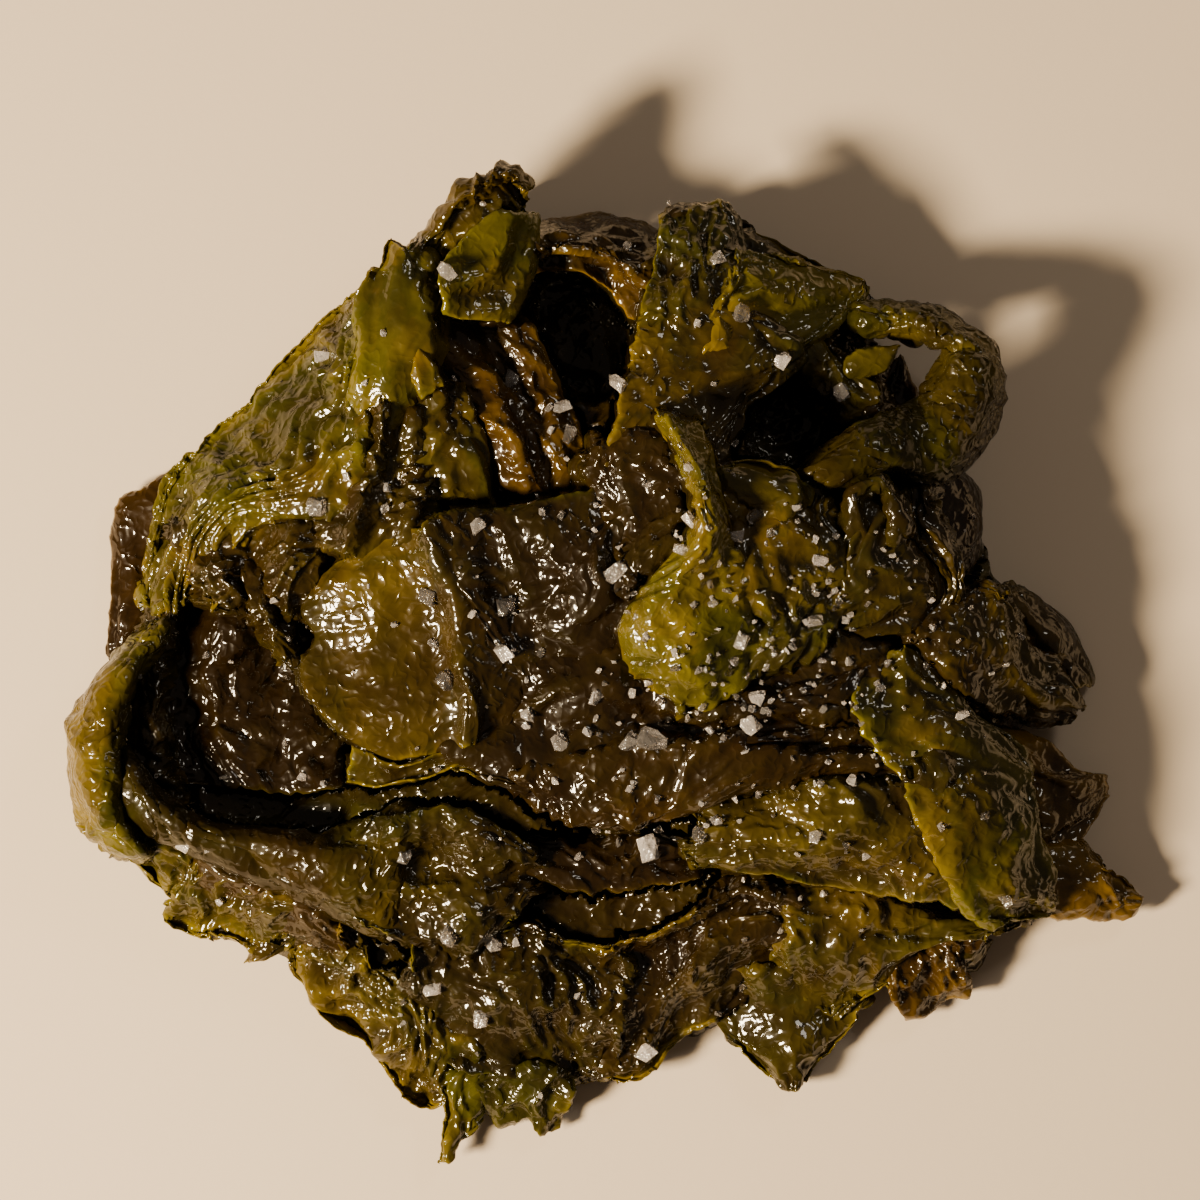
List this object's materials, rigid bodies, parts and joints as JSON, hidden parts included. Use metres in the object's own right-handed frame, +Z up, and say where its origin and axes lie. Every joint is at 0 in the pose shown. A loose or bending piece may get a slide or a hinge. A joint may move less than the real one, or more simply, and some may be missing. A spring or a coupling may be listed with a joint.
{
  "type": "kombu heap",
  "caption": "Loose flat heap of glossy seasoned kombu: wide crinkled kelp sheets folded over one another, with coarse salt on top and a flat underside.",
  "frame": {"origin": "on the surface the heap lies on, under the middle of its outline", "axes": "+Z up; +Y to the far side of the heap as the picture shows it from above, +X to its right"},
  "size_m": [0.235, 0.2185, 0.0554],
  "materials": {
    "kombu": "wet, glossy, slightly translucent kelp, dark olive to amber brown, with frosted salt crystals"
  },
  "bodies": {
    "root": {"kombu_heap": "kombu"}
  },
  "joints": []
}
